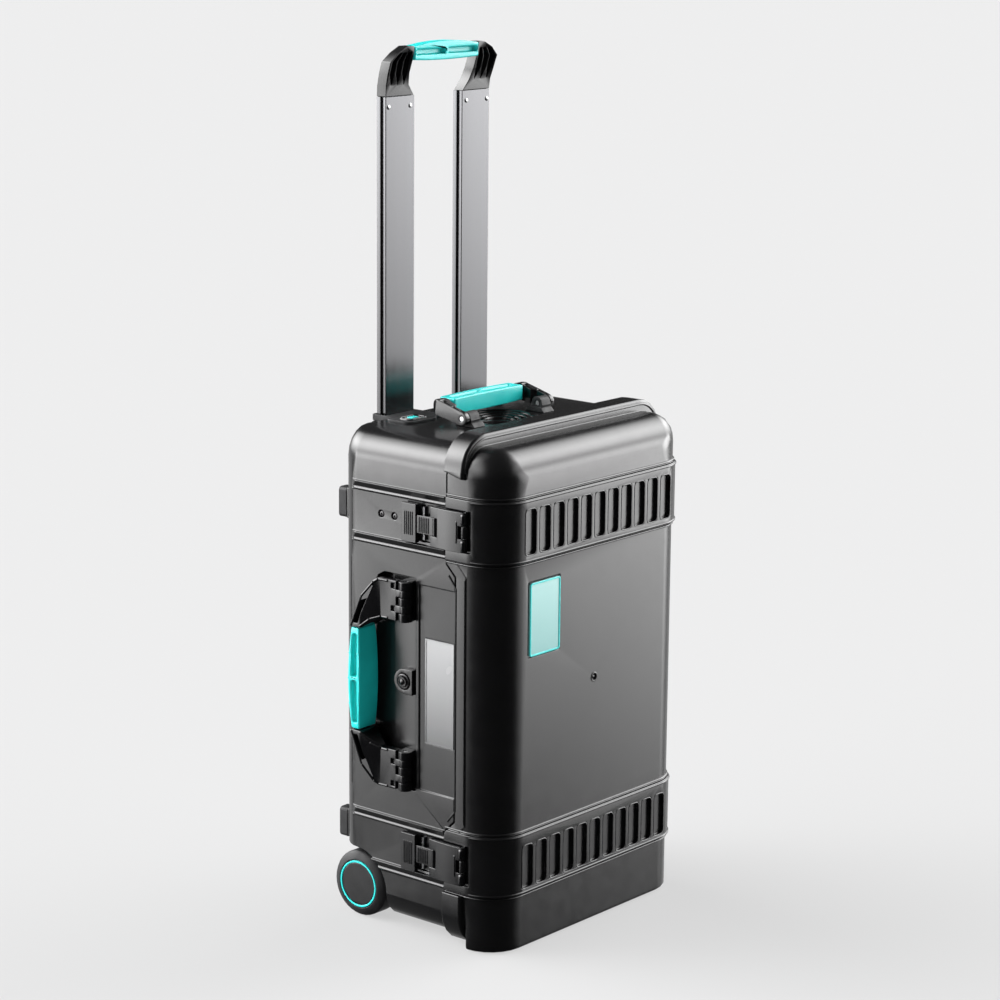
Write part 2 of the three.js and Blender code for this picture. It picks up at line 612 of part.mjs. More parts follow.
// ---- latches ----
for (const { name, band } of LEVELS) {
  const z = band.latch;
  const plateGroup = bodyGroup();
  const triggerGroup = bodyGroup();
  const span = [z - LATCH.half, z + LATCH.half];
  const { pivotY, triggerY } = LATCH;
  const plate = rod("z", [LATCH.x, pivotY], span, 3.5, 12)
    .add(box([LATCH.face, -165], [pivotY, triggerY + 5], span))
    .subtract(box([-180, -160], [pivotY - 6.5, pivotY + 5.5], [z - 7, z + 7]))
    .subtract(box([-180, -160], [triggerY - 5, triggerY + 5.5], [z - 10.2, z + 10.2]))
    .subtract(rod("z", [LATCH.x, pivotY], ANY_Z, 1.9, 12))
    .subtract(rod("z", [LATCH.x, triggerY], [z - 16, z + 16], 1.8, 12));
  addNode(plateGroup, `latch_plate_${name}`, plate, MATERIALS.fitting);
  const pinSpan = [z - LATCH.half + 0.5, z + LATCH.half - 0.5];
  const pin = rod("z", [LATCH.x, pivotY], pinSpan, 1.6, 12);
  addNode(plateGroup, `latch_pin_${name}`, pin, MATERIALS.steel);
  const neck = [z - 9.8, z + 9.8];
  const tab = [z - 21, z + 21];
  const trigger = rod("z", [LATCH.x, triggerY], neck, 3, 12)
    .add(box([-170.6, -166.6], [triggerY, triggerY + 25.5], neck))
    .add(box([LATCH.face, -166.3], [triggerY + 25, triggerY + 45.5], tab))
    .add(box([-167, -165.2], [triggerY + 25, triggerY + 27], [z - 17, z + 17]))
    .subtract(rod("z", [LATCH.x, triggerY], ANY_Z, 1.8, 12));
  addNode(triggerGroup, `latch_trigger_${name}`, trigger, MATERIALS.fitting);
  const triggerPin = rod("z", [LATCH.x, triggerY], [z - 15.5, z + 15.5], 1.5, 12);
  addNode(plateGroup, `trigger_pin_${name}`, triggerPin, MATERIALS.steel);
}

// ---- side handle ----
const sideHandle = bodyGroup();

function sideFrame() {
  const { z, half, grip } = SIDE_HANDLE;
  const upper = [[42.8, half], [68, half], [74, half - 3.5], [104, grip + 1], [100, grip + 1]];
  const inner = [[92, grip + 1], [88, grip + 1], [64, half - 44], [42.8, half - 44]];
  const fold = (points, sign) => points.map(([y, dz]) => [y, z + sign * dz]);
  const outline = [
    ...fold(upper, 1),
    ...fold([...upper].reverse(), -1),
    ...fold([...inner].reverse(), -1),
    ...fold(inner, 1),
  ];
  const top = fold([...upper, ...inner], 1);
  const bottom = fold([...upper, ...inner], -1);
  const plan = [
    [-176, 42.8], [-176, 66], [-184, 86], [-184, 105],
    [-156, 105], [-156, 88], [-167, 66], [-167, 42.8],
  ];
  const arms = prism(top, "x", WIDE).add(prism(bottom, "x", WIDE));
  let frame = arms.intersect(prism(plan, "z", ANY_Z));
  frame = frame.add(box([-177, -162], [92, 100], [z - grip - 3, z + grip + 3]));
  for (const sign of [1, -1]) {
    const [z0] = plateSpan(sign);
    for (const [a, b] of KNUCKLES) {
      const span = [z0 + a, z0 + b];
      frame = frame
        .add(rod("z", [SIDE_HANDLE.x, SIDE_HANDLE.y], span, 7, 16))
        .add(box([-176, -167], [SIDE_HANDLE.y, 43.5], span));
    }
    const channel = fold([[74, half - 9], [79, half - 9], [98, grip + 6], [92, grip + 6]], sign);
    frame = frame.subtract(prism(channel, "x", [-190, -172]));
  }
  return frame.subtract(rod("z", [SIDE_HANDLE.x, SIDE_HANDLE.y], ANY_Z, 2.9, 12));
}
addNode(sideHandle, "side_handle_frame", sideFrame(), MATERIALS.fitting);

// A bowed grip sleeve: its outline is drawn across its length, with two slots in its outer face.
function bowedOutline(half, low, high, bow) {
  const outline = new THREE.Shape();
  outline.moveTo(-half, low);
  outline.quadraticCurveTo(0, low - bow[0], half, low);
  outline.lineTo(half, high);
  outline.quadraticCurveTo(0, high + bow[1], -half, high);
  return outline;
}

function sideGrip() {
  const { z, grip } = SIDE_HANDLE;
  const outline = bowedOutline(grip, 155, 184.5, [0, 4]);
  const place = (p) => vector(-p.z, p.y, z + p.x);
  const slots = [1, -1].map((sign) => {
    const span = [z + sign * 2.5, z + sign * 50].sort((a, b) => a - b);
    return box([-190, -180], [91.5, 99.5], span);
  });
  return prism(outline, "y", [87, 104], 8, place)
    .subtract(box([-177.4, -161.6], [91.6, 100.4], ANY_Z))
    .subtract(union(slots));
}
addNode(sideHandle, "side_handle_grip", sideGrip(), MATERIALS.accent);

// ---- top handle ----
const topHandle = bodyGroup();

function topFrame() {
  const { x, y, z, gripY, gripZ } = TOP_HANDLE;
  const arm = prism(capsule([y, z, 7.5], [gripY + 1, gripZ, 8.7]), "x", [-x, -60]);
  const plan = [
    [-x, 20], [-69, 20], [-69, 52], [-63, 56], [-63, 64], [-58.6, 70],
    [-58.6, 100], [-60, 100], [-x, 76],
  ];
  const hand = arm.intersect(prism(plan, "z", ANY_Z));
  const bar = box([-60, 60], [gripY - 6, gripY + 6], [gripZ - 4, gripZ + 4]);
  return hand.add(mirrorX(hand)).add(bar).subtract(rod("x", [y, z], WIDE, 3, 12));
}
addNode(topHandle, "top_handle_frame", topFrame(), MATERIALS.fitting);

function topGrip() {
  const { gripY, gripZ } = TOP_HANDLE;
  const outline = bowedOutline(58.2, 561.5, 578.5, [2, 1.5]);
  const slots = [1, -1].map((sign) => {
    const span = [sign * 2.5, sign * 50].sort((a, b) => a - b);
    return box(span, [gripY - 2, gripY + 4], [576, 590]);
  });
  return prism(outline, "y", [gripY - 11, gripY + 11], 8)
    .subtract(box(WIDE, [gripY - 6.4, gripY + 6.4], [gripZ - 4.4, gripZ + 4.4]))
    .subtract(union(slots));
}
addNode(topHandle, "top_handle_grip", topGrip(), MATERIALS.accent);

// ---- trolley handle ----
const trolley = bodyGroup();

function pole() {
  const { x, half, y, z } = TROLLEY;
  const groove = [y[0] + 1.2, y[0] + 7.8];
  const side = [
    [half, y[0]], [half, groove[0]], [half - 2.5, groove[0]], [half - 2.5, groove[1]],
    [half, groove[1]], [half, y[1]],
  ];
  const plan = [...side, ...side.map(([u, v]) => [-u, v]).reverse()];
  return prism(plan.map(([u, v]) => [u - x, v]), "z", z);
}

// The casting rises from the pole, narrows inwards and leans forward to the grip.
const CASTING = [
  { z: 902.3, x: [-85.7, -40.7] },
  { z: 914, x: [-86.5, -50] },
  { z: 927, x: [-88, -53] },
  { z: 940, x: [-88.5, -53] },
  { z: 949.5, x: [-77.5, -53] },
  { z: 956, x: [-64, -53] },
];
function leanForward(p) {
  const rise = Math.min(1, Math.max(0, (p.z - 905) / 50));
  return vector(p.x, p.y - TROLLEY.lean * rise * rise * (3 - 2 * rise), p.z);
}
function castingEdge(share, from, to) {
  return CASTING.slice(from, to).map(({ x, z }) => [x[0] + share * (x[1] - x[0]), z]);
}
function casting() {
  const outline = [...castingEdge(0, 0, 6), ...castingEdge(1, 0, 6).reverse()];
  let made = prism(outline, "y", TROLLEY.y, 6, leanForward);
  for (const share of [0.1, 0.38, 0.66]) {
    const pocket = [
      ...castingEdge(share + 0.11, 1, 2),
      ...castingEdge(share, 2, 5),
      ...castingEdge(share + 0.22, 2, 5).reverse(),
    ];
    const span = [TROLLEY.y[0] - 6, TROLLEY.y[0] + 8];
    made = made.subtract(prism(pocket, "y", span, 6, leanForward));
  }
  return made;
}

for (const side of SIDES) {
  addNode(trolley, `trolley_pole_${side.name}`, onSide(side, pole()), MATERIALS.pole);
  addNode(trolley, `trolley_casting_${side.name}`, onSide(side, casting()), MATERIALS.fitting);
}

function trolleyGrip() {
  const outline = bowedOutline(52.7, 940.5, 955.5, [3, 8]);
  const slots = [1, -1].map((sign) => {
    const span = [sign * 2.5, sign * 50].sort((a, b) => a - b);
    return box(span, [120, 133], [945.6, 951.8]);
  });
  return prism(outline, "y", [127, 143], 10).subtract(union(slots));
}
addNode(trolley, "trolley_grip", trolleyGrip(), MATERIALS.accent);

for (const side of SIDES) {
  const button = box(BUTTON.x, BUTTON.y, [TOP - 6.5, TOP + 4]);
  addNode(bodyGroup(), `release_button_${side.name}`, onSide(side, button), MATERIALS.accent);
}

// ---- wheels ----
for (const side of SIDES) {
  const group = bodyGroup();
  const hubCentre = [WHEEL.y, WHEEL.r];
  const [inner, outer] = WHEEL.x;
  const tyreProfile = [
    [27.4, -inner], [WHEEL.r - 2, -inner], [WHEEL.r, -inner - 2], [WHEEL.r, -outer + 6],
    [WHEEL.r - 2.4, -outer + 2.6], [30, -outer + 0.6], [27.4, -outer], [27.4, -inner],
  ];
  const hubProfile = [
    [4.4, -inner - 1], [27, -inner - 1], [27, -outer + 1.2], [26.8, -outer + 3], [24.4, -outer + 3],
    [24.4, -outer + 0.8], [0, -outer + 0.8], [0, -outer + 2.5], [4.4, -outer + 2.5],
    [4.4, -inner - 1],
  ];
  const ringProfile = [
    [24.6, -outer + 2.7], [26.6, -outer + 2.7], [26.6, -outer], [24.6, -outer],
    [24.6, -outer + 2.7],
  ];
  const pieces = [
    ["tyre", turned(tyreProfile, hubCentre, 36), MATERIALS.rubber],
    ["wheel_hub", turned(hubProfile, hubCentre, 36), MATERIALS.fitting],
    ["wheel_ring", turned(ringProfile, hubCentre, 36), MATERIALS.accent],
  ];
  for (const [name, made, material] of pieces) {
    addNode(group, `${name}_${side.name}`, onSide(side, made), material);
  }
}

// ---- valve knob ----
const knobProfile = [[0, -162.3], [9, -162.3], [9, -168], [7, -170], [0, -170.5]];
const knob = turned(knobProfile, [VALVE.y, VALVE.z], 20).subtract(
  box([-175, -169], [VALVE.y - 1, VALVE.y + 1], [VALVE.z - 5, VALVE.z + 5]),
);
addNode(bodyGroup(), "valve_knob", knob, MATERIALS.fitting);

export default part;
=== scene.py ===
"""Looks for a wheeled hard case with a side-hinged lid: rounded edges, moulded details, materials.

Lengths are in millimetres, in the case's own frame, and become metres through `MM`, unless a comment
says metres. X points to the hinge side, Y to the back and Z up; the lid is at the front.
"""

import json
import math

import bmesh
import bpy
from mathutils import Matrix, Vector
from mathutils.bvhtree import BVHTree


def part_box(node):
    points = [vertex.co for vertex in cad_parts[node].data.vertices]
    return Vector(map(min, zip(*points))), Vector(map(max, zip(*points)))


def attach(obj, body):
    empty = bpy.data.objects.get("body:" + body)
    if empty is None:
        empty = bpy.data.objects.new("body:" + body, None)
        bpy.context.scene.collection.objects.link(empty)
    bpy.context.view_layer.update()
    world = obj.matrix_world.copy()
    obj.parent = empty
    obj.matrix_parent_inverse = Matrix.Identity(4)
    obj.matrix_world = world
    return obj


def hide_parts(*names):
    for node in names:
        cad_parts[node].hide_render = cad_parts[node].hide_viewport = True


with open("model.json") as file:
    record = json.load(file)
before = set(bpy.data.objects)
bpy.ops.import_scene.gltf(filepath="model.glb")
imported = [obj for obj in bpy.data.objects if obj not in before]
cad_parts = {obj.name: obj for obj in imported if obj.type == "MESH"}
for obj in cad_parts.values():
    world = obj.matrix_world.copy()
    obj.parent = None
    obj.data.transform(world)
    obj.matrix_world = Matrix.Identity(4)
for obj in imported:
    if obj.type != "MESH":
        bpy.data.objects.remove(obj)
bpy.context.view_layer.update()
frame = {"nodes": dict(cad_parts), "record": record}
MM = 0.001
EAST = Vector((1, 0, 0))
NORTH = Vector((0, 1, 0))
UP = Vector((0, 0, 1))

# ------------------------------------------------------------------ camera
scene = bpy.context.scene
scene.view_settings.view_transform = "Standard"
scene.view_settings.look = "None"


def camera_at(eye, heading, pitch, roll, lens):
    """A camera at `eye`, in metres, turned from +X towards +Y by its heading and down by its pitch."""
    heading, pitch, roll = (math.radians(degrees) for degrees in (heading, pitch, roll))
    forward = Vector((
        math.cos(heading) * math.cos(pitch),
        math.sin(heading) * math.cos(pitch),
        -math.sin(pitch),
    ))
    level_right = Vector((math.sin(heading), -math.cos(heading), 0))
    level_up = level_right.cross(forward)
    right = math.cos(roll) * level_right + math.sin(roll) * level_up
    above = -math.sin(roll) * level_right + math.cos(roll) * level_up
    data = bpy.data.cameras.new("camera")
    data.sensor_width = 36
    data.lens = lens
    data.clip_end = 200
    made = bpy.data.objects.new("camera", data)
    turn = Matrix((right, above, -forward)).transposed().to_4x4()
    made.matrix_world = Matrix.Translation(eye) @ turn
    scene.collection.objects.link(made)
    return made


scene.camera = camera_at((-2.45277, -2.01536, 1.16884), heading=40.05, pitch=12.50, roll=0.50, lens=106.5)

# ------------------------------------------------------------------ node helpers


def new_material(name):
    """A material with its node tree emptied down to a Principled shader."""
    material = bpy.data.materials.new(name)
    material.use_nodes = True
    tree = material.node_tree
    tree.nodes.clear()
    shader = tree.nodes.new("ShaderNodeBsdfPrincipled")
    output = tree.nodes.new("ShaderNodeOutputMaterial")
    tree.links.new(shader.outputs["BSDF"], output.inputs["Surface"])
    return material, tree, shader


def ranged(tree, value, start, end, low=0.0, high=1.0):
    """`value` from start to end becomes a number from low to high, and stops at both."""
    made = tree.nodes.new("ShaderNodeMapRange")
    for key, number in zip(("From Min", "From Max", "To Min", "To Max"), (start, end, low, high)):
        made.inputs[key].default_value = number
    tree.links.new(value, made.inputs["Value"])
    return made.outputs["Result"]


def combined(tree, operation, *values):
    """Two values added or multiplied; each is a number or another node's output."""
    made = tree.nodes.new("ShaderNodeMath")
    made.operation = operation
    for socket, value in zip(made.inputs, values):
        if isinstance(value, (int, float)):
            socket.default_value = value
        else:
            tree.links.new(value, socket)
    return made.outputs["Value"]


# ------------------------------------------------------------------ floor and light
FLOOR_RADIUS = 90  # metres
FLOOR_SIDES = 64

floor_material, _, floor_shader = new_material("stage_floor")
floor_shader.inputs["Base Color"].default_value = (0.13, 0.13, 0.131, 1)
floor_shader.inputs["Roughness"].default_value = 0.9
floor_shader.inputs["Specular IOR Level"].default_value = 0.0
floor_shader.inputs["Emission Color"].default_value = (1, 1, 1, 1)
floor_shader.inputs["Emission Strength"].default_value = 0.555
floor_mesh = bpy.data.meshes.new("floor")
floor_turns = [k * math.tau / FLOOR_SIDES for k in range(FLOOR_SIDES)]
floor_ring = [(FLOOR_RADIUS * math.cos(a), FLOOR_RADIUS * math.sin(a), 0) for a in floor_turns]
floor_mesh.from_pydata(floor_ring, [], [range(FLOOR_SIDES)])
floor_mesh.materials.append(floor_material)
floor = bpy.data.objects.new("floor", floor_mesh)
scene.collection.objects.link(floor)
floor.visible_glossy = False

# The studio is dark but for soft boxes. Each lies towards a level heading. Its share is the cosine of
# the angle from that heading, over which it grows from nothing to full. Heights are sines of the angle
# above the horizon: a box grows over its rise and fades over its fall. camera_low has its rise turned
# round, so it fills everything below that height.
BOXES = {
    "right_low": {
        "towards": (0.765, -0.643), "share": (0.86, 0.96), "rise": (-0.35, -0.11), "fall": (0.05, 0.2),
        "bright": 8.8,
    },
    "left_low": {
        "towards": (-0.765, 0.643), "share": (0.92, 0.985), "rise": (-0.42, -0.10), "fall": (0.05, 0.2),
        "bright": 9.5,
    },
    "camera_low": {
        "towards": (-0.643, -0.765), "share": (0.97, 0.995), "rise": (-0.2, -0.42), "fall": (0.2, 0.4),
        "bright": 1.3,
    },
    "right_high": {
        "towards": (0.87, -0.50), "share": (0.50, 0.82), "rise": (-0.05, 0.40), "fall": (0.72, 0.95),
        "bright": 7.2,
    },
    "left_high": {
        "towards": (-0.643, 0.766), "share": (0.42, 0.80), "rise": (-0.05, 0.40), "fall": (0.76, 0.92),
        "bright": 10.0,
    },
    "round_low": {
        "towards": (0.643, 0.765), "share": (0.05, 0.6), "rise": (-0.9, -0.5), "fall": (-0.08, 0.08),
        "bright": 0.5,
    },
}
OVERHEAD = (-0.2, 0.6, 0.0, 0.08)  # the bare studio: from one height to another, how dark and how bright
AWAY = (0.643, 0.765)  # a level heading, roughly away from the camera
DRIFT = (-0.12, 0.14, 0.5, 1.45)  # every box brightens along AWAY: from, to, least and most

world = bpy.data.worlds.new("studio")
scene.world = world
world.use_nodes = True
sky = world.node_tree
background = sky.nodes["Background"]
background.inputs["Color"].default_value = (1, 1, 1, 1)
direction = sky.nodes.new("ShaderNodeSeparateXYZ")
sky.links.new(sky.nodes.new("ShaderNodeTexCoord").outputs["Generated"], direction.inputs[0])
sky_x, sky_y, sky_z = (direction.outputs[axis] for axis in "XYZ")


def sky_along(east, north):
    """How far a direction of the sky leans towards a level heading."""
    eastward = combined(sky, "MULTIPLY", sky_x, east)
    northward = combined(sky, "MULTIPLY", sky_y, north)
    return combined(sky, "ADD", eastward, northward)


def box_shine(box):
    """A soft box's brightness in every direction of the sky."""
    aim = ranged(sky, sky_along(*box["towards"]), *box["share"])
    rise = ranged(sky, sky_z, *box["rise"])
    fall = ranged(sky, sky_z, *box["fall"], 1.0, 0.0)
    level = combined(sky, "MULTIPLY", rise, fall)
    drift = ranged(sky, sky_along(*AWAY), *DRIFT)
    shine = combined(sky, "MULTIPLY", combined(sky, "MULTIPLY", aim, level), drift)
    return combined(sky, "MULTIPLY", shine, box["bright"])


light = ranged(sky, sky_z, *OVERHEAD)
for soft_box in BOXES.values():
    light = combined(sky, "ADD", light, box_shine(soft_box))
sky.links.new(light, background.inputs["Strength"])

key_data = bpy.data.lights.new("key_light", "SUN")
key_data.energy = 0.3
key_data.angle = math.radians(50)
key_light = bpy.data.objects.new("key_light", key_data)
key_light.matrix_world = Vector((0.35, -0.75, -1.0)).to_track_quat("-Z", "Y").to_matrix().to_4x4()
scene.collection.objects.link(key_light)

# ------------------------------------------------------------------ materials


class Tree:
    """Short calls for the nodes that the materials share."""

    def __init__(self, name):
        self.material, self.tree, self.shader = new_material(name)
        self.place = self.node("TexCoord").outputs["Object"]

    def node(self, kind, **settings):
        """A node of a kind, with its settings."""
        made = self.tree.nodes.new("ShaderNode" + kind)
        for key, value in settings.items():
            setattr(made, key, value)
        return made

    def link(self, start, end):
        """Joins an output to an input."""
        self.tree.links.new(start, end)

    def noise(self, scale, detail, rough=0.5, stretch=None):
        """A noise in the object's own frame, stretched along its axes where asked."""
        made = self.node("TexNoise")
        made.inputs["Scale"].default_value = scale
        made.inputs["Detail"].default_value = detail
        made.inputs["Roughness"].default_value = rough
        where = self.place
        if stretch:
            mapping = self.node("Mapping")
            mapping.inputs["Scale"].default_value = stretch
            self.link(where, mapping.inputs["Vector"])
            where = mapping.outputs["Vector"]
        self.link(where, made.inputs["Vector"])
        return made.outputs["Fac"]

    def height(self):
        """Z in the object's own frame, in metres."""
        made = self.node("SeparateXYZ")
        self.link(self.place, made.inputs[0])
        return made.outputs["Z"]

    def spread(self, value, low, high, start=0.3, end=0.7):
        """`value` from start to end becomes a number from low to high."""
        return ranged(self.tree, value, start, end, low, high)

    def mixed(self, share, first, second):
        """A colour between first and second; each is a colour or another node's output."""
        made = self.node("Mix", data_type="RGBA")
        self.link(share, made.inputs["Factor"])
        for socket, colour in (("A", first), ("B", second)):
            target = [i for i in made.inputs if i.name == socket and i.type == "RGBA"][0]
            if isinstance(colour, tuple):
                target.default_value = (*colour, 1)
            else:
                self.link(colour, target)
        return [o for o in made.outputs if o.type == "RGBA"][0]

    def product(self, a, b):
        """Two values multiplied."""
        return combined(self.tree, "MULTIPLY", a, b)

    def colour(self, output):
        """Gives the shader its colour."""
        self.link(output, self.shader.inputs["Base Color"])

    def roughness(self, output):
        """Gives the shader its roughness."""
        self.link(output, self.shader.inputs["Roughness"])

    def bump(self, height, strength, depth):
        """Gives the shader a relief, `depth` metres deep."""
        made = self.node("Bump")
        made.inputs["Strength"].default_value = strength
        made.inputs["Distance"].default_value = depth
        self.link(height, made.inputs["Height"])
        self.link(made.outputs["Normal"], self.shader.inputs["Normal"])

    def set(self, **numbers):
        """Gives the shader plain numbers, by its inputs' names."""
        for key, value in numbers.items():
            self.shader.inputs[key.replace("_", " ")].default_value = value


def scaled(colour, share):
    """A colour made darker or lighter."""
    return tuple(c * share for c in colour)


def moulded(name, colour, rough, edge_highlight, grain, depth):
    """Moulded plastic: a fine grain, a faint mottle, and edges painted paler as a highlight."""
    t = Tree(name)
    mottle = t.mixed(t.spread(t.noise(28, 4), 0, 1), scaled(colour, 0.9), scaled(colour, 1.1))
    # painted highlight: sharp edges are painted paler where light would catch them
    highlight_mask = t.product(t.node("Attribute", attribute_name="edge").outputs["Fac"], t.noise(160, 3))
    t.colour(t.mixed(t.spread(highlight_mask, 0, 0.6, 0.42, 0.8), mottle, edge_highlight))
    t.roughness(t.spread(t.noise(55, 4), rough - 0.02, rough + 0.03))
    t.bump(t.noise(grain, 2), depth, 0.0002)
    t.set(IOR=1.5, Specular_IOR_Level=0.5)
    return t.material


def rubbery(name, colour):
    """Rubber: dull, with a coarse mottle."""
    t = Tree(name)
    t.colour(t.mixed(t.spread(t.noise(60, 5), 0, 1), scaled(colour, 0.75), scaled(colour, 1.35)))
    t.roughness(t.spread(t.noise(90, 4), 0.42, 0.6))
    t.bump(t.noise(900, 3), 0.3, 0.0003)
    t.set(Specular_IOR_Level=0.22)
    return t.material


def foamy(name, colour):
    """Closed-cell foam: small pores painted darker than the walls between them, as shade."""
    t = Tree(name)
    cells = t.node("TexVoronoi")
    cells.inputs["Scale"].default_value = 700
    t.link(t.place, cells.inputs["Vector"])
    # painted shade: the pores are darker than the walls between them
    pore_shade = t.spread(cells.outputs["Distance"], 0, 1, 0.1, 0.6)
    t.colour(t.mixed(pore_shade, scaled(colour, 0.4), scaled(colour, 1.3)))
    t.roughness(t.spread(t.noise(120, 4), 0.88, 1.0))
    t.bump(cells.outputs["Distance"], 0.5, 0.0006)
    t.set(Specular_IOR_Level=0.15, Sheen_Weight=0.25, Sheen_Roughness=0.6)
    return t.material


def metal(name, colour, rough, brushed, metallic=1.0, painted_shade_span=None):
    """Brushed metal; given two heights in metres, it is painted darker below as shade, paling between."""
    t = Tree(name)
    lines = t.noise(40, 5, 0.6, brushed)
    tint = t.mixed(lines, scaled(colour, 0.8), scaled(colour, 1.2))
    if painted_shade_span:
        # painted shade: darker towards the foot
        tint = t.mixed(t.spread(t.height(), 0, 1, *painted_shade_span), scaled(colour, 0.3), tint)
    t.colour(tint)
    t.roughness(t.spread(lines, rough - 0.05, rough + 0.07))
    t.bump(lines, 0.08, 0.0001)
    t.set(Metallic=metallic)
    return t.material


def coated(name, low, high, rough, painted_shade_heights):
    """A smooth clear-coated plate, painted lighter from one height to another, in metres, as shading."""
    t = Tree(name)
    uneven = t.product(t.height(), t.spread(t.noise(14, 2), 0.995, 1.005))
    # painted shading: darker at the lower height, lighter at the higher
    t.colour(t.mixed(t.spread(uneven, 0, 1, *painted_shade_heights), low, high))
    t.roughness(t.spread(t.noise(20, 1), rough - 0.01, rough + 0.015))
    t.bump(t.noise(900, 1), 0.02, 0.0001)
    t.set(Coat_Weight=0.3, Coat_Roughness=0.12)
    return t.material


# the paler colours painted on sharp edges are painted highlights
EDGE_HIGHLIGHT_BLACK = (0.04, 0.04, 0.042)
EDGE_HIGHLIGHT_TEAL = (0.12, 0.76, 0.72)
SHELL = moulded("shell_plastic", (0.0042, 0.0042, 0.0045), 0.23, EDGE_HIGHLIGHT_BLACK, grain=1400, depth=0.1)
FITTING = moulded("fitting_plastic", (0.0035, 0.0035, 0.004), 0.20, EDGE_HIGHLIGHT_BLACK, grain=1800, depth=0.08)
TEAL = moulded("teal_plastic", (0.014, 0.57, 0.55), 0.30, EDGE_HIGHLIGHT_TEAL, grain=1500, depth=0.12)
# the badge and label are painted lighter towards their tops as shading
BADGE = coated("badge_plastic", (0.15, 0.37, 0.36), (0.27, 0.52, 0.50), 0.25, painted_shade_heights=(0.326, 0.407))
LABEL = coated("label_plastic", (0.085, 0.086, 0.088), (0.31, 0.313, 0.317), 0.26, painted_shade_heights=(0.222, 0.339))
RUBBER = rubbery("black_rubber", (0.02, 0.02, 0.021))
TYRE = rubbery("tyre_rubber", (0.012, 0.012, 0.013))
FOAM = foamy("charcoal_foam", (0.03, 0.03, 0.032))
# the pole is painted darker towards its foot as shade
POLE = metal(
    "anodised_pole", (0.075, 0.075, 0.078), 0.20, brushed=(1, 1, 0.02), metallic=0.85, painted_shade_span=(0.40, 0.92)
)
STEEL = metal("steel", (0.55, 0.55, 0.56), 0.28, brushed=(1, 1, 0.1))
LOOK = {
    "case_shell": SHELL,
    "black_fitting": FITTING,
    "teal_grip": TEAL,
    "badge": BADGE,
    "label": LABEL,
    "black_rubber": RUBBER,
    "wheel_tyre": TYRE,
    "foam": FOAM,
    "anodised_pole": POLE,
    "steel_pin": STEEL,
}
SLOT_OF = {s["node"]: s["material_slot"] for s in frame["record"]["subparts"]}
BODY_OF = {
    node: body for body, nodes in frame["record"]["behaviour"]["bodies"].items() for node in nodes
}

# ------------------------------------------------------------------ mesh helpers
WELD = 5e-6  # metres: vertices this close are one
FLAT = math.radians(0.6)  # a turn this small is not an edge of the shape
SHARP = math.radians(35)  # edges that turn by more are rounded
SUNK = 0.4  # how deep a bead's section reaches into the wall


def cleaned(node, reshape):
    """A solid as a bmesh of flat faces, without the edges inside them."""
    bm = bmesh.new()
    bm.from_mesh(frame["nodes"][node].data)
    bmesh.ops.remove_doubles(bm, verts=bm.verts, dist=WELD)
    bmesh.ops.dissolve_limit(bm, angle_limit=FLAT, verts=bm.verts, edges=bm.edges)
    if reshape:
        reshape(bm)
    many = [f for f in bm.faces if len(f.verts) > 4]
    bmesh.ops.triangulate(bm, faces=many, ngon_method="BEAUTY")
    return bm


def sliced(bm, axis, places, faces=None):
    """Cuts faces along planes square to an axis (0 for X), at places in millimetres."""
    normal = [0, 0, 0]
    normal[axis] = 1
    for place in places:
        point = [0, 0, 0]
        point[axis] = place * MM
        chosen = [f for f in bm.faces if faces is None or faces(f)]
        around = [item for f in chosen for item in (*f.edges, *f.verts)]
        geometry = list(dict.fromkeys([*chosen, *around]))  # each once, always in the same order
        bmesh.ops.bisect_plane(bm, geom=geometry, plane_co=point, plane_no=normal)


def carved(bm, cutters):
    """Takes closed meshes away from a closed mesh."""
    mesh = bpy.data.meshes.new("whole")
    bm.to_mesh(mesh)
    whole = bpy.data.objects.new("whole", mesh)
    scene.collection.objects.link(whole)
    tools = []
    for cutter in cutters:
        data = bpy.data.meshes.new("cutter")
        bmesh.ops.recalc_face_normals(cutter, faces=cutter.faces)
        cutter.to_mesh(data)
        cutter.free()
        tool = bpy.data.objects.new("cutter", data)
        scene.collection.objects.link(tool)
        cut = whole.modifiers.new("cut", "BOOLEAN")
        cut.operation = "DIFFERENCE"
        cut.solver = "EXACT"
        cut.object = tool
        tools.append(tool)
    bpy.context.view_layer.update()
    result = whole.evaluated_get(bpy.context.evaluated_depsgraph_get())
    bm.clear()
    bm.from_mesh(result.to_mesh())
    result.to_mesh_clear()
    for spent in [whole, *tools]:
        data = spent.data
        bpy.data.objects.remove(spent)
        bpy.data.meshes.remove(data)


def prism(outline, ends):
    """A closed prism between two X; the outline holds (y, z) points."""
    bm = bmesh.new()
    rings = [[bm.verts.new(Vector((x, y, z)) * MM) for y, z in outline] for x in ends]
    for ring in rings:
        bm.faces.new(ring)
    for k in range(len(outline)):
        n = (k + 1) % len(outline)
        bm.faces.new((rings[0][k], rings[0][n], rings[1][n], rings[1][k]))
    return bm


def skin(bm, rings, closed=False):
    """Joins rings of points into one surface; open ends are capped."""
    made = [[bm.verts.new(Vector(point) * MM) for point in ring] for ring in rings]
    count = len(made[0])
    pairs = list(zip(made, made[1:])) + ([(made[-1], made[0])] if closed else [])
    for first, second in pairs:
        for k in range(count):
            n = (k + 1) % count
            bm.faces.new((first[k], first[n], second[n], second[k]))
    if not closed:
        bm.faces.new(made[0])
        bm.faces.new(made[-1])


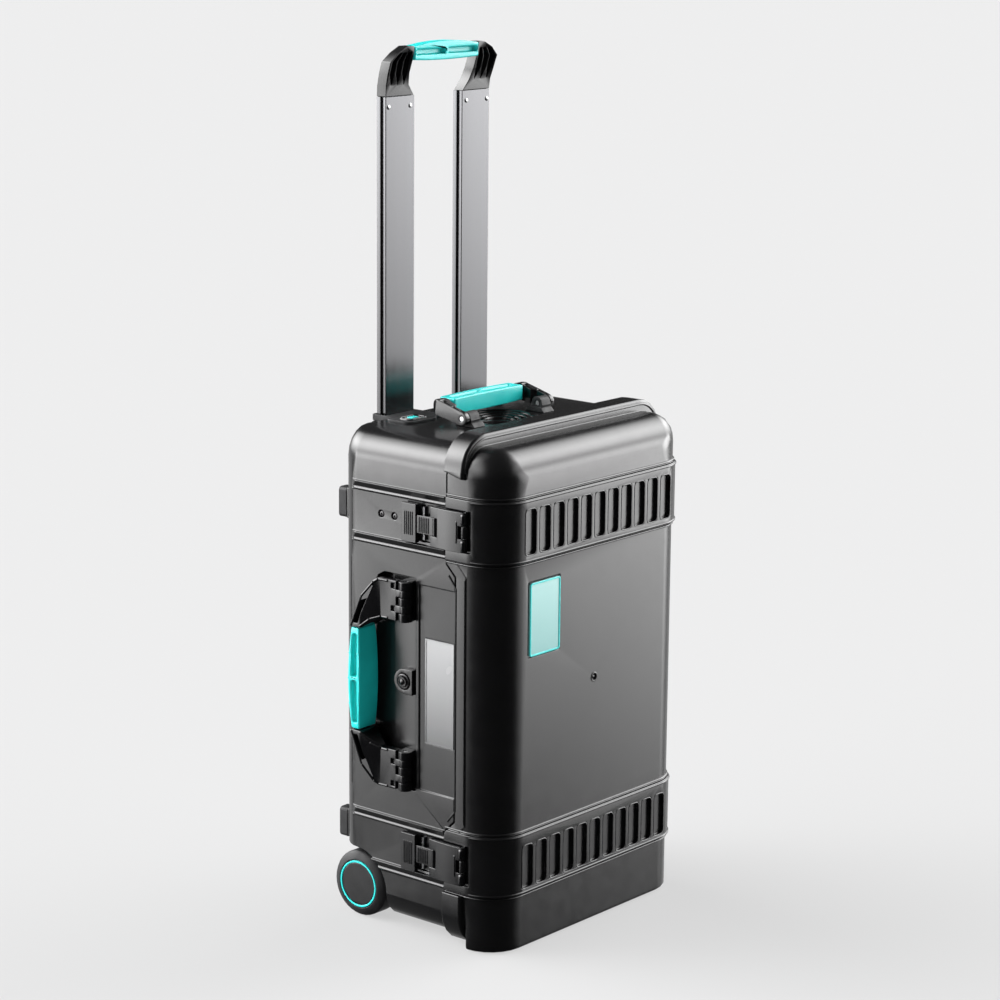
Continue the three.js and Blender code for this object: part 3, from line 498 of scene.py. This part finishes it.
def turned(bm, centre, axis, profile, segments):
    """Adds a turned form: the profile holds (radius, distance along the axis)."""
    centre, axis = Vector(centre), Vector(axis).normalized()
    across = axis.orthogonal().normalized()
    other = axis.cross(across)
    turns = [k * math.tau / segments for k in range(segments)]
    tip = 0.02  # a ring this small closes the form on its axis
    skin(bm, [
        [centre + axis * d + (across * math.cos(a) + other * math.sin(a)) * max(r, tip) for a in turns]
        for r, d in profile
    ])


def half_round(radius, height):
    """A bead's section as (out, across) points, sunk a little into the wall it stands on."""
    arc = [math.pi * k / 6 for k in range(7)]
    crown = [(height * math.sin(a), radius * math.cos(a)) for a in arc]
    return [(-SUNK, radius)] + crown + [(-SUNK, -radius)]


def swept(bm, path, section, closed=False):
    """Carries a section along a path of (point, out, across) frames."""
    skin(bm, [[p + out * u + across * v for u, v in section] for p, out, across in path], closed)


def ridge(bm, start, end, out, radius, height):
    """A straight bead from start to end whose ends slope down to the wall."""
    start, end, out = Vector(start), Vector(end), Vector(out)
    along = (end - start).normalized()
    across = along.cross(out)
    section = half_round(radius, height)
    stations = ((start, 0.05), (start + along * radius * 0.5, 0.8), (start + along * radius, 1.0))
    stations += ((end - along * radius, 1.0), (end - along * radius * 0.5, 0.8), (end, 0.05))
    skin(bm, [
        [p + out * (u * share if u > 0 else u) + across * v for u, v in section] for p, share in stations
    ])


def circle(centre, axis, radius):
    """A closed path of frames around a circle."""
    centre, axis = Vector(centre), Vector(axis)
    side = axis.orthogonal().normalized()
    other = axis.cross(side)
    path = []
    for k in range(40):
        a = k * math.tau / 40
        out = side * math.cos(a) + other * math.sin(a)
        path.append((centre + out * radius, axis, out))
    return path


def quarter_turn(centre, radius, start, from_axis, to_axis):
    """Points along a quarter circle, each with its way out; degrees turn from one axis to the other."""
    stations = []
    for k in range(13):
        a = math.radians(start + 7.5 * k)
        out = from_axis * math.cos(a) + to_axis * math.sin(a)
        stations.append((centre + out * radius, out))
    return stations


def rounded_rectangle(first_span, second_span, radius):
    """Points around a rectangle; every radius gives the same number of points."""
    (low, high), (bottom, top) = first_span, second_span
    points = []
    for centre, level, start in (
        (high - radius, top - radius, 0), (low + radius, top - radius, 90),
        (low + radius, bottom + radius, 180), (high - radius, bottom + radius, 270),
    ):
        for k in range(6):
            a = math.radians(start + 18 * k)
            points.append((centre + radius * math.cos(a), level + radius * math.sin(a)))
    return points


def soften(bm, width):
    """Rounds every sharp edge by `width` millimetres; a vertex that strays is put back on the surface."""
    bm.normal_update()
    before = BVHTree.FromBMesh(bm)
    sharp = [e for e in bm.edges if len(e.link_faces) == 2 and e.calc_face_angle(0) > SHARP]
    bmesh.ops.bevel(
        bm, geom=sharp, offset=width * MM, segments=2, profile=0.5,
        affect="EDGES", offset_type="OFFSET", clamp_overlap=False, miter_outer="ARC",
    )
    astray = 0.7 * width * MM
    for vert in bm.verts:
        nearest, _, _, gap = before.find_nearest(vert.co)
        if gap > astray:
            vert.co = nearest
    bmesh.ops.remove_doubles(bm, verts=bm.verts, dist=0.4 * WELD)


def mark_edges(mesh):
    """Writes how sharply each vertex's surface turns, as attribute `edge`, for painted edge highlights."""
    bm = bmesh.new()
    bm.from_mesh(mesh)
    bm.normal_update()
    values = []
    for vert in bm.verts:
        turns = [e.calc_face_angle_signed(0) for e in vert.link_edges if len(e.link_faces) == 2]
        # nothing up to a turn of 16 degrees, all of it from 48 degrees
        values.append(min(1.0, max(0.0, 1.8 * max(turns, default=0) - 0.5)))
    bm.free()
    layer = mesh.attributes.new("edge", "FLOAT", "POINT")
    layer.data.foreach_set("value", values)


def piece(name, bm, body, slot, replaced=None, material=None, smooth=40):
    """A finished piece that rides on a body; edges that turn by less than `smooth` degrees shade round."""
    bmesh.ops.recalc_face_normals(bm, faces=bm.faces)
    mesh = bpy.data.meshes.new(name)
    bm.to_mesh(mesh)
    bm.free()
    mesh.materials.clear()
    mesh.materials.append(material or LOOK[slot])
    for polygon in mesh.polygons:
        polygon.use_smooth = True
        polygon.material_index = 0
    mesh.set_sharp_from_angle(angle=math.radians(smooth))
    mark_edges(mesh)
    made = bpy.data.objects.new(name, mesh)
    scene.collection.objects.link(made)
    weighted = made.modifiers.new("weighted", "WEIGHTED_NORMAL")
    weighted.keep_sharp = True
    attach(made, body)
    if replaced:
        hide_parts(replaced)
    return made


def refined(node, width):
    """A node's own shape, reshaped where RESHAPED says so, with its edges rounded."""
    bm = cleaned(node, RESHAPED.get(node))
    soften(bm, width)
    return piece(node + ".look", bm, BODY_OF[node], SLOT_OF[node], node)


def box_mm(node):
    """A node's lowest and highest corner in millimetres."""
    return tuple(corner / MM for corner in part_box(node))


# ------------------------------------------------------------------ shapes that differ from their solids


def bowed_plate(bm):
    """A latch plate's outer face bulges along Y."""
    low = min(v.co.y for v in bm.verts) / MM
    high = max(v.co.y for v in bm.verts) / MM
    steps = 9
    bulge, lowered, face_depth = 1.7 * MM, 0.8 * MM, 0.5 * MM
    sliced(bm, 1, [low + (high - low) * k / steps for k in range(1, steps)])
    outer = min(v.co.x for v in bm.verts)
    for vert in bm.verts:
        if vert.co.x < outer + face_depth:
            share = (vert.co.y / MM - low) / (high - low)
            vert.co.x -= bulge * math.sin(math.pi * min(1.0, 0.15 + 0.85 * share)) - lowered


def pierced_arms(bm):
    """Square holes in the side handle's barrels."""
    low, high = box_mm("side_handle_frame")
    near, far, half = 44.5, 50, 3
    cutters = []
    for z in (low.z + 6, low.z + 31, high.z - 6, high.z - 31):
        square = [(near, z - half), (far, z - half), (far, z + half), (near, z + half)]
        cutters.append(prism(square, (low.x - 6, low.x + 11)))
    carved(bm, cutters)


def sunk_top_arms(bm):
    """Channels in the upper side of the top handle's arms."""
    channels = (  # the floor's two ends as (Y, Z), and the walls' X
        ((44, 567.2), (53, 569.8), (71, 74)),
        ((56, 571.2), (71, 575.2), (65.5, 73.5)),
    )
    clear = 600  # a height above the whole handle
    cutters = []
    for sign in (1, -1):
        for (y0, z0), (y1, z1), (inner, outer) in channels:
            outline = [(y0, clear), (y0, z0), (y1, z1), (y1, clear)]
            cutters.append(prism(outline, (sign * inner, sign * outer)))
    carved(bm, cutters)


def rounded_foot(bm):
    """Rounds the lid's lower outer edge."""
    bm.normal_update()
    foot_radius = 4.5

    def outer(edge):
        middle = (edge.verts[0].co + edge.verts[1].co) / 2 / MM
        turned_down = [f.normal.z < -0.9 for f in edge.link_faces]
        outside = middle.y < -60 or abs(middle.x) > 150
        return middle.z < 1 and outside and any(turned_down) and not all(turned_down)

    edges = [e for e in bm.edges if len(e.link_faces) == 2 and outer(e)]
    bmesh.ops.bevel(
        bm, geom=edges, offset=foot_radius * MM, segments=4, profile=0.5, affect="EDGES",
        offset_type="OFFSET", clamp_overlap=True,
    )


def bowed_grip(bm):
    """The side grip narrows towards both ends."""
    low, high = box_mm("side_handle_grip")
    middle = (low + high) / 2
    half = (high.z - low.z) / 2
    front_in, back_in, face_in = 4.0, 2.0, 1.8  # how far each face comes in at the ends
    shares = (-0.85, -0.7, -0.5, -0.25, 0, 0.25, 0.5, 0.7, 0.85)
    sliced(bm, 2, [middle.z + half * share for share in shares])
    for vert in bm.verts:
        x, y, z = (length / MM for length in vert.co)
        bow = MM * ((z - middle.z) / half) ** 2
        to_front = (high.y - y) / (high.y - low.y)
        to_back = (y - low.y) / (high.y - low.y)
        vert.co.y += bow * (front_in * to_front - back_in * to_back)
        vert.co.x += bow * face_in * (high.x - x) / (high.x - low.x)


def egg_crate(bm):
    """The lid foam's open face in rows of soft bumps, sunk below the flat face."""
    low, high = box_mm("lid_foam")
    open_face = max(v.co.y for v in bm.verts)
    near_face = open_face - 0.1 * MM
    pitch, half_depth = 9.0, 5.0

    def on_face(face):
        return face.normal.y > 0.9 and face.calc_center_median().y > near_face

    for axis in (0, 2):
        count = int((high[axis] - low[axis]) / pitch)
        sliced(bm, axis, [low[axis] + pitch * k for k in range(1, count + 1)], on_face)
    bm.normal_update()
    rim = {v for f in bm.faces if not on_face(f) for v in f.verts}
    for vert in bm.verts:
        if vert.co.y > near_face and vert not in rim:
            u = (vert.co.x / MM - low.x) / pitch * math.pi / 2
            w = (vert.co.z / MM - low.z) / pitch * math.pi / 2
            vert.co.y -= half_depth * MM * (1 - math.cos(u) * math.cos(w))


RESHAPED = {
    "lid_shell": rounded_foot, "top_handle_frame": sunk_top_arms,
    "latch_plate_upper": bowed_plate, "latch_plate_lower": bowed_plate,
    "side_handle_frame": pierced_arms, "side_handle_grip": bowed_grip, "lid_foam": egg_crate,
}
ROUNDING = {  # how far each solid's sharp edges are rounded
    "base_shell": 0.9, "lid_shell": 0.9, "trolley_housing": 0.8,
    "pole_collar_left": 0.7, "pole_collar_right": 0.7,
    "latch_plate_upper": 0.5, "latch_plate_lower": 0.5,
    "latch_trigger_upper": 0.5, "latch_trigger_lower": 0.5,
    "side_handle_frame": 0.7, "side_handle_grip": 1.6,
    "side_handle_mount_upper": 0.5, "side_handle_mount_lower": 0.5,
    "top_handle_frame": 0.9, "top_handle_grip": 1.6,
    "top_handle_mount_left": 0.5, "top_handle_mount_right": 0.5,
    "trolley_casting_left": 0.6, "trolley_casting_right": 0.6, "trolley_grip": 1.5,
    "trolley_pole_left": 0.6, "trolley_pole_right": 0.6,
    "release_button_left": 0.8, "release_button_right": 0.8,
    "badge_plate": 0.5, "label_plate": 0.4,
    "valve_body": 0.5, "standing_foot": 1.0,
    "rear_foot_upper_left": 1.0, "rear_foot_upper_right": 1.0,
    "rear_foot_lower_left": 1.0, "rear_foot_lower_right": 1.0,
    "foam_pocket_layer": 1.5, "foam_bottom_layer": 1.5, "lid_foam": 1.5,
    "tyre_left": 0.8, "tyre_right": 0.8, "wheel_hub_left": 0.5, "wheel_hub_right": 0.5,
    "wheel_ring_left": 0.3, "wheel_ring_right": 0.3,
}
made_from = {node: refined(node, width) for node, width in ROUNDING.items()}
for node in ("pole_collar_left", "pole_collar_right", "top_handle_mount_left", "top_handle_mount_right"):
    made_from[node].data.materials[0] = RUBBER

for node, solid in frame["nodes"].items():
    if node not in ROUNDING:
        solid.data.materials.clear()
        solid.data.materials.append(LOOK[SLOT_OF[node]])

# ------------------------------------------------------------------ details on the lid
HALF_WIDTH = 164
FRONT = -90  # the lid's front face
SEAM_Y = -19
SIDE_ROUND = 42  # radius of the lid's vertical corners
BANDS = {"upper": (431, 499), "lower": (64, 132)}  # the raised bands' edges
SLOTS = {"upper": (439, 488), "lower": (70, 118)}  # the ends of the slots in each band
SLOT_COUNT = 11
SLOT_WIDTH = 17
SLOT_PITCH = 23.34
FIRST_SLOT = -123
SLOT_FRAME = (  # how far out from the slot's edge, corner radius, Y
    (1.3, 5.6, -92.8), (1.1, 5.4, -93.2), (0.6, 5.0, -93.4), (0.1, 4.8, -93.2), (-0.2, 4.7, -92.8),
    (-0.2, 4.7, -89.2), (1.3, 1.0, -89.2),
)
DIMPLE_Z = 281


def round_the_lid(z):
    """The lid's plan at height z, from the seam on one side to the seam on the other."""
    path = [(Vector((-HALF_WIDTH, SEAM_Y, z)), -EAST, UP)]
    for centre_x, start in ((SIDE_ROUND - HALF_WIDTH, 180), (HALF_WIDTH - SIDE_ROUND, 270)):
        centre = Vector((centre_x, FRONT + SIDE_ROUND, z))
        path += [(point, out, UP) for point, out in quarter_turn(centre, SIDE_ROUND, start, EAST, NORTH)]
    return path + [(Vector((HALF_WIDTH, SEAM_Y, z)), EAST, UP)]


def band_beads(low, high):
    """Beads beside a raised band's edges, and finer ones on the band itself."""
    bm = bmesh.new()
    band_height = 3
    for z in (low - 2.4, high + 2.4):
        swept(bm, round_the_lid(z), half_round(1.3, 1.6))
    for z in (low + 2.0, high - 2.0):
        path = [(p + out * band_height, out, up) for p, out, up in round_the_lid(z)[2:-2]]
        swept(bm, path, half_round(1.2, 1.0))
    return bm


def slot_frames(low, high):
    """A raised rim round each slot of a band."""
    bm = bmesh.new()
    for k in range(SLOT_COUNT):
        left = FIRST_SLOT + SLOT_PITCH * k
        rings = []
        for out, radius, y in SLOT_FRAME:
            span = (left - out, left + SLOT_WIDTH + out)
            outline = rounded_rectangle(span, (low - out, high + out), radius)
            rings.append([Vector((x, y, z)) for x, z in outline])
        skin(bm, rings, closed=True)
    return bm


def front_dimple():
    """A small ring with a stud in the middle of the lid's face."""
    bm = bmesh.new()
    swept(bm, circle((0, FRONT, DIMPLE_Z), -NORTH, 4.6), half_round(1.0, 0.7), closed=True)
    turned(bm, (0, FRONT + 1.8, DIMPLE_Z), -NORTH, [(2.6, -0.2), (2.4, 0.6), (1.5, 1.2), (0, 1.4)], 20)
    return bm


def badge_rim():
    """A low rim round the badge plate."""
    low, high = box_mm("badge_plate")
    bm = bmesh.new()
    rings = []
    for inset, radius, y in ((0, 3, 0.3), (0, 3, -0.4), (0.5, 2.6, -0.8), (1.6, 2, -0.8), (2.4, 1.6, 0.2)):
        outline = rounded_rectangle(
            (low.x + inset, high.x - inset), (low.z + inset, high.z - inset), radius
        )
        rings.append([Vector((x, low.y + y, z)) for x, z in outline])
    skin(bm, rings, closed=True)
    return bm


for name, edges in BANDS.items():
    piece("band_beads_" + name, band_beads(*edges), "lid", "case_shell", smooth=60)
for name, ends in SLOTS.items():
    piece("slot_frames_" + name, slot_frames(*ends), "lid", "case_shell", smooth=50)
piece("front_dimple", front_dimple(), "lid", "case_shell", smooth=50)
piece("badge_rim", badge_rim(), "lid", "badge", material=TEAL, smooth=25)

# ------------------------------------------------------------------ details on handles, poles and sides
COLLAR_X = 132  # where the lid's upper collar starts to turn down, on either side
COLLAR_Y = -45
COLLAR_Z = 527
COLLAR_ROUND = 33
ARM_FACE = ((42, -176), (66, -176), (86, -184), (106, -184))  # the arms' outer face as (Y, X)
RIVET_X = (46.5, 81.5)
RIVET_DROP = 11
RIVET = [(2.6, -0.2), (2.5, 0.5), (1.6, 1.0), (0, 1.2)]
SCREW_HEAD = [(3.3, -0.3), (3.3, 0.9), (2.5, 1.5), (1.3, 1.6), (1.1, 0.7), (0, 0.7)]
SIDE_SCREW_X = 2.5 - HALF_WIDTH
SIDE_SCREW_Y = (56, 75)
SIDE_SCREW_Z = 466
KNOB = [
    (9, 0), (9, 4.0), (8.5, 4.9), (7.7, 5.1), (7.3, 4.3), (6.5, 4.3), (6.1, 5.6), (5.2, 6.6),
    (4.6, 6.6), (4.2, 6.0), (3.4, 6.0), (3.0, 7.2), (1.8, 8.0), (0, 8.2),
]


def button_bezel(side):
    """Two oval beads on the collar, round a release button."""
    low, high = box_mm("release_button_" + side)
    plate_top = box_mm("pole_collar_" + side)[1].z
    middle = (low + high) / 2
    bm = bmesh.new()
    for margin, height in ((9.0, 1.6), (3.0, 1.2)):
        x_span = (low.x - margin, high.x + margin)
        y_span = (low.y - margin / 2, high.y + margin / 2)
        path = []
        for x, y in rounded_rectangle(x_span, y_span, margin / 2 + 1):
            out = Vector((x - middle.x, y - middle.y, 0)).normalized()
            path.append((Vector((x, y, plate_top)), UP, out))
        swept(bm, path, half_round(1.0, height), closed=True)
    return bm


def arm_x(y):
    """X of the side handle's outer face at depth y."""
    for (y0, x0), (y1, x1) in zip(ARM_FACE, ARM_FACE[1:]):
        if y <= y1:
            return x0 + (x1 - x0) * (y - y0) / (y1 - y0)
    return ARM_FACE[-1][1]


def side_handle_rims():
    """Rims along both edges of the side handle's arms."""
    low, high = box_mm("side_handle_frame")
    grip_low, grip_high = box_mm("side_handle_grip")
    middle_z = (low.z + high.z) / 2
    arm = (high.z - low.z) / 2
    grip_end = (grip_high.z - grip_low.z) / 2 + 1
    outer_rim = [(54, arm - 1.6), (67.5, arm - 1.6), (73, arm - 5), (86, arm - 22), (101.5, grip_end + 0.5)]
    inner_rim = [(54, arm - 42.4), (64, arm - 42.4), (77, arm - 47), (89.5, grip_end + 1.5)]
    bm = bmesh.new()
    for sign in (1, -1):
        for line in (outer_rim, inner_rim):
            for start, end in zip(line, line[1:]):
                points = [Vector((arm_x(y), y, middle_z + sign * dz)) for y, dz in (start, end)]
                ridge(bm, *points, -EAST, 1.4, 1.2)
    return bm


def collar_bead():
    """A bead over the lid's upper collar, from side to side."""
    path = []
    for centre_x, start in ((COLLAR_X, 0), (-COLLAR_X, 90)):
        centre = Vector((centre_x, COLLAR_Y, COLLAR_Z))
        path += [(point, -NORTH, out) for point, out in quarter_turn(centre, COLLAR_ROUND, start, EAST, UP)]
    bm = bmesh.new()
    swept(bm, path, half_round(1.4, 1.2))
    return bm


def pole_rivets(side, sign):
    """Two rivets near the top of a pole."""
    low, high = box_mm("trolley_pole_" + side)
    bm = bmesh.new()
    for x in RIVET_X:
        turned(bm, (sign * x, low.y, high.z - RIVET_DROP), -NORTH, RIVET, 20)
    return bm


def side_screws():
    """Two screws in the base's side, above the side handle."""
    bm = bmesh.new()
    for y in SIDE_SCREW_Y:
        turned(bm, (SIDE_SCREW_X, y, SIDE_SCREW_Z), -EAST, SCREW_HEAD, 24)
    return bm


def valve_knob():
    """A knob in rings, in the place of the plain one."""
    low, high = box_mm("valve_knob")
    bm = bmesh.new()
    turned(bm, (high.x, (low.y + high.y) / 2, (low.z + high.z) / 2), -EAST, KNOB, 36)
    return bm


def label_frame():
    """A low frame round the label plate."""
    low, high = box_mm("label_plate")
    plan = ((low.y, low.z), (high.y, low.z), (high.y, high.z), (low.y, high.z))
    corners = [Vector((low.x, y, z)) for y, z in plan]
    middle = sum(corners, Vector()) / 4
    bm = bmesh.new()
    skin(bm, [
        [c + Vector((-lift, *(-math.copysign(inset, d) for d in (c - middle)[1:]))) for c in corners]
        for inset, lift in ((0, -0.2), (0, 0.6), (1.1, 0.6), (1.5, -0.2))
    ], closed=True)
    return bm


for side in ("left", "right"):
    piece("button_bezel_" + side, button_bezel(side), "base", "black_fitting", smooth=60)
piece("side_handle_rims", side_handle_rims(), "side_handle", "black_fitting", smooth=60)
piece("collar_bead", collar_bead(), "lid", "case_shell", smooth=60)
for side, sign in (("left", -1), ("right", 1)):
    piece("pole_rivets_" + side, pole_rivets(side, sign), "trolley", "steel_pin", smooth=30)
piece("side_screws", side_screws(), "base", "steel_pin", material=FITTING, smooth=30)
piece("valve_knob.look", valve_knob(), BODY_OF["valve_knob"], "black_fitting", "valve_knob", smooth=35)
piece("label_frame", label_frame(), "base", "label", smooth=20)

# ------------------------------------------------------------------ details on the latches


def trigger_ribs(level):
    """Ribs for the thumb: a row on the trigger's head and a shorter row on its sunk tail."""
    low, high = box_mm("latch_trigger_" + level)
    middle_z = (low.z + high.z) / 2
    bm = bmesh.new()
    for count, pitch, start, depth, half in ((5, 2.7, 5, 0, 13), (6, 2.6, 24.5, 1.4, 8.5)):
        for k in range(count):
            y = high.y - start - pitch * k
            x = low.x + depth
            ridge(bm, (x, y, middle_z - half), (x, y, middle_z + half), -EAST, 0.8, 0.7)
    return bm


def latch_lip(level):
    """The plate's rolled end on both sides of the trigger, and a bead across the plate."""
    trigger_low, trigger_high = box_mm("latch_trigger_" + level)
    middle_z = (trigger_low.z + trigger_high.z) / 2
    plate = box_mm("latch_plate_" + level)[0]
    bm = bmesh.new()
    for x, y, start, end, radius, height in (
        (plate.x + 0.4, plate.y + 2.8, -20.5, -8, 2.6, 2.4),
        (plate.x + 0.4, plate.y + 2.8, 8, 20.5, 2.6, 2.4),
        (plate.x - 0.6, plate.y + 11, -12, 12, 1.2, 0.9),
    ):
        ridge(bm, (x, y, middle_z + start), (x, y, middle_z + end), -EAST, radius, height)
    return bm


for level in ("upper", "lower"):
    piece("trigger_ribs_" + level, trigger_ribs(level), "trigger_" + level, "black_fitting", smooth=50)
    piece("latch_lip_" + level, latch_lip(level), "latch_" + level, "black_fitting", smooth=50)

# ------------------------------------------------------------------ recess, side strip and rear housing
RECESS_Y = 48
RECESS_Z = 547  # height of the recess's smallest ring
SMALLEST_RING = 17
STRIP_FACE = -HALF_WIDTH - 0.6
STRIP_Z = (154, 401)
STRIP_Y = (-44.6, -32.4, -21.4)  # a bead at the front, the step's bead, and where its ends meet the seam
PANEL_Z = (96, 520)  # the housing's framed field
COLUMN_X = 70  # the middle of the housing's two outer columns


def recess_rings():
    """Rings round the recess under the top handle, each higher than the one inside it."""
    bm = bmesh.new()
    for radius in (35, 29, 23, SMALLEST_RING):
        height = RECESS_Z + 0.26 * (radius - SMALLEST_RING)
        swept(bm, circle((0, RECESS_Y, height), UP, radius), half_round(1.5, 2.6), closed=True)
    return bm


def skirt_beads():
    """Beads that frame the strip along the lid's side, between the latches."""
    front, step, seam = STRIP_Y
    low, high = STRIP_Z
    bm = bmesh.new()
    for start, end in (
        ((step, low), (step, high)),
        ((seam, high + 13), (step, high)),
        ((step, low), (seam, low - 13)),
        ((front, low - 12), (front, high + 12)),
    ):
        ridge(bm, (STRIP_FACE, *start), (STRIP_FACE, *end), -EAST, 0.9, 0.9)
    return bm


def housing_ribs(back):
    """Short ribs up the rear housing's middle, upright beads beside it, and cross beads at both ends."""
    bottom, top = PANEL_Z
    first_rib, rib_pitch, rib_half, rib_depth = 110, 48, 27, 8
    column_half, cross_half = 26, 24
    face = back - 0.2
    bm = bmesh.new()
    for k in range(9):
        z = first_rib + rib_pitch * k
        ridge(bm, (-rib_half, back - rib_depth, z), (rib_half, back - rib_depth, z), NORTH, 2.5, 3.0)
    for middle in (-COLUMN_X, COLUMN_X):
        for x in (middle - column_half, middle + column_half):
            ridge(bm, (x, face, bottom), (x, face, top), NORTH, 1.6, 1.4)
    for z in PANEL_Z:
        for x in (-COLUMN_X, COLUMN_X):
            ridge(bm, (x - cross_half, face, z), (x + cross_half, face, z), NORTH, 1.6, 1.4)
    return bm


def housing_screws(back):
    """Three screws up either side of the rear housing."""
    bm = bmesh.new()
    for x in (-COLUMN_X, COLUMN_X):
        for z in (112, 308, 504):
            turned(bm, (x, back - 0.3, z), NORTH, SCREW_HEAD, 24)
    return bm


housing_back = box_mm("trolley_housing")[1].y
piece("top_recess_rings", recess_rings(), "base", "case_shell", smooth=60)
piece("skirt_beads", skirt_beads(), "lid", "case_shell", smooth=50)
piece("housing_ribs", housing_ribs(housing_back), "base", "black_fitting", smooth=50)
piece("housing_screws", housing_screws(housing_back), "base", "steel_pin", smooth=30)
